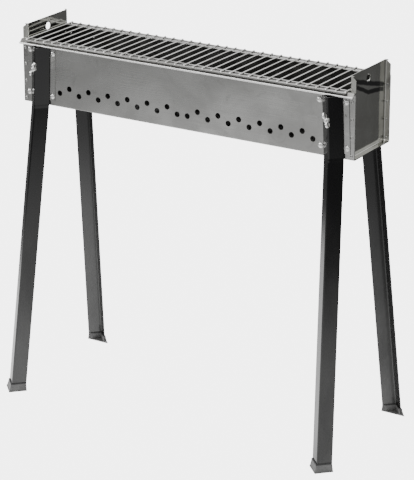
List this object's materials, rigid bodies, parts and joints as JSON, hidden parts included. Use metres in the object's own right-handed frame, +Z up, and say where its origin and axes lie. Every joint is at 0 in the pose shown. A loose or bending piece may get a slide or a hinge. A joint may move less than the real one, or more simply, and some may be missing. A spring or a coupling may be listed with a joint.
{
  "type": "charcoal trough grill",
  "caption": "Portable charcoal grill: a bent-sheet trough with air holes, flanged end plates, a lift-out wire grate and splayed angle legs clamped on by wing nuts.",
  "frame": {"origin": "on the floor, under the middle of the trough", "axes": "+X along the trough to its right-hand end, +Y to the back, +Z up; -Y is the front"},
  "size_m": [0.774, 0.3478, 0.759],
  "materials": {
    "stainless_steel": "satin stainless sheet",
    "polished_steel": "polished stainless sheet",
    "heat_dulled_steel": "dull sheet steel",
    "chromed_wire": "bright chrome",
    "black_enamel": "gloss black",
    "grey_plastic": "matte grey",
    "bright_zinc": "bright zinc plate"
  },
  "bodies": {
    "trough": {"trough_shell": "stainless_steel", "end_plate_left": "polished_steel", "end_plate_right": "polished_steel", "grate_ledge_front": "stainless_steel", "grate_ledge_back": "stainless_steel", "leg_bracket_front_left": "stainless_steel", "leg_bracket_front_right": "stainless_steel", "leg_bracket_back_left": "stainless_steel", "leg_bracket_back_right": "stainless_steel", "clamp_stud_front_left": "bright_zinc", "clamp_stud_front_right": "bright_zinc", "clamp_stud_back_left": "bright_zinc", "clamp_stud_back_right": "bright_zinc", "bracket_screw_front_left_1": "bright_zinc", "bracket_screw_front_left_2": "bright_zinc", "bracket_screw_front_left_3": "bright_zinc", "bracket_screw_front_left_4": "bright_zinc", "bracket_screw_front_right_1": "bright_zinc", "bracket_screw_front_right_2": "bright_zinc", "bracket_screw_front_right_3": "bright_zinc", "bracket_screw_front_right_4": "bright_zinc", "bracket_screw_back_left_1": "bright_zinc", "bracket_screw_back_left_2": "bright_zinc", "bracket_screw_back_left_3": "bright_zinc", "bracket_screw_back_left_4": "bright_zinc", "bracket_screw_back_right_1": "bright_zinc", "bracket_screw_back_right_2": "bright_zinc", "bracket_screw_back_right_3": "bright_zinc", "bracket_screw_back_right_4": "bright_zinc", "rivet_left_front_1": "bright_zinc", "rivet_left_front_2": "bright_zinc", "rivet_left_front_3": "bright_zinc", "rivet_left_front_4": "bright_zinc", "rivet_left_back_1": "bright_zinc", "rivet_left_back_2": "bright_zinc", "rivet_left_back_3": "bright_zinc", "rivet_left_back_4": "bright_zinc", "rivet_right_front_1": "bright_zinc", "rivet_right_front_2": "bright_zinc", "rivet_right_front_3": "bright_zinc", "rivet_right_front_4": "bright_zinc", "rivet_right_back_1": "bright_zinc", "rivet_right_back_2": "bright_zinc", "rivet_right_back_3": "bright_zinc", "rivet_right_back_4": "bright_zinc"},
    "cooking_grate": {"cooking_grate": "chromed_wire"},
    "charcoal_grate": {"charcoal_grate": "heat_dulled_steel"},
    "leg_front_left": {"leg_front_left": "black_enamel", "foot_front_left": "grey_plastic"},
    "leg_front_right": {"leg_front_right": "black_enamel", "foot_front_right": "grey_plastic"},
    "leg_back_left": {"leg_back_left": "black_enamel", "foot_back_left": "grey_plastic"},
    "leg_back_right": {"leg_back_right": "black_enamel", "foot_back_right": "grey_plastic"},
    "wing_nut_front_left": {"wing_nut_front_left": "bright_zinc"},
    "wing_nut_front_right": {"wing_nut_front_right": "bright_zinc"},
    "wing_nut_back_left": {"wing_nut_back_left": "bright_zinc"},
    "wing_nut_back_right": {"wing_nut_back_right": "bright_zinc"}
  },
  "joints": [
    {"name": "cooking_grate_lift", "type": "slide", "parent": "trough", "child": "cooking_grate", "axis": [0, 0, 1], "range_m": [0, 0.1]},
    {"name": "charcoal_grate_lift", "type": "slide", "parent": "trough", "child": "charcoal_grate", "axis": [0, 0, 1], "range_m": [0, 0.06]},
    {"name": "leg_front_left_slide", "type": "slide", "parent": "trough", "child": "leg_front_left", "axis": [0, -1, 0], "range_m": [0, 0.045]},
    {"name": "wing_nut_front_left_turn", "type": "hinge", "parent": "leg_front_left", "child": "wing_nut_front_left", "pos_m": [-0.3304, -0.0945, 0.6775], "axis": [0, -1, 0], "continuous": true},
    {"name": "leg_front_right_slide", "type": "slide", "parent": "trough", "child": "leg_front_right", "axis": [0, -1, 0], "range_m": [0, 0.045]},
    {"name": "wing_nut_front_right_turn", "type": "hinge", "parent": "leg_front_right", "child": "wing_nut_front_right", "pos_m": [0.3304, -0.0945, 0.6775], "axis": [0, -1, 0], "continuous": true},
    {"name": "leg_back_left_slide", "type": "slide", "parent": "trough", "child": "leg_back_left", "axis": [0, 1, 0], "range_m": [0, 0.045]},
    {"name": "wing_nut_back_left_turn", "type": "hinge", "parent": "leg_back_left", "child": "wing_nut_back_left", "pos_m": [-0.3304, 0.0945, 0.6775], "axis": [0, 1, 0], "continuous": true},
    {"name": "leg_back_right_slide", "type": "slide", "parent": "trough", "child": "leg_back_right", "axis": [0, 1, 0], "range_m": [0, 0.045]},
    {"name": "wing_nut_back_right_turn", "type": "hinge", "parent": "leg_back_right", "child": "wing_nut_back_right", "pos_m": [0.3304, 0.0945, 0.6775], "axis": [0, 1, 0], "continuous": true}
  ]
}
